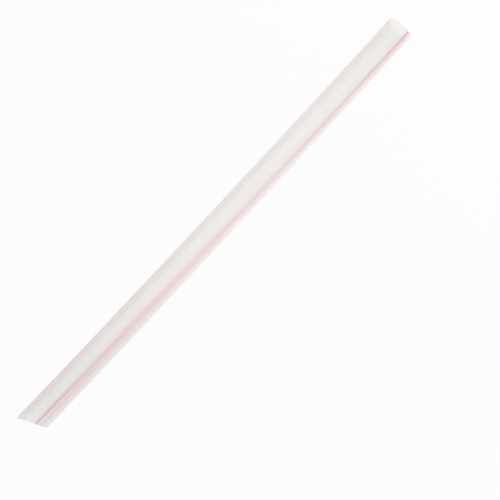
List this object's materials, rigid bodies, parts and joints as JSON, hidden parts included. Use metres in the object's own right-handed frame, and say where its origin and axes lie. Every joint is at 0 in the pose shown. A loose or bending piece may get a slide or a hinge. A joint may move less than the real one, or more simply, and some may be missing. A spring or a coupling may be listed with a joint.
{
  "type": "bubble tea straw",
  "caption": "Wide thin-walled translucent drinking straw with coloured stripes, cut square at the mouth and on a slant at the piercing end.",
  "frame": {"origin": "on the standing surface, in the middle of the square end", "axes": "+Z along the straw from the square end to the slanted end, +X towards the point of the slant"},
  "size_m": [0.012, 0.012, 0.24],
  "materials": {
    "straw_wall": "thin milky polypropylene, half see-through, satin, with lengthwise pink stripes in the wall"
  },
  "bodies": {
    "root": {"straw": "straw_wall"}
  },
  "joints": []
}
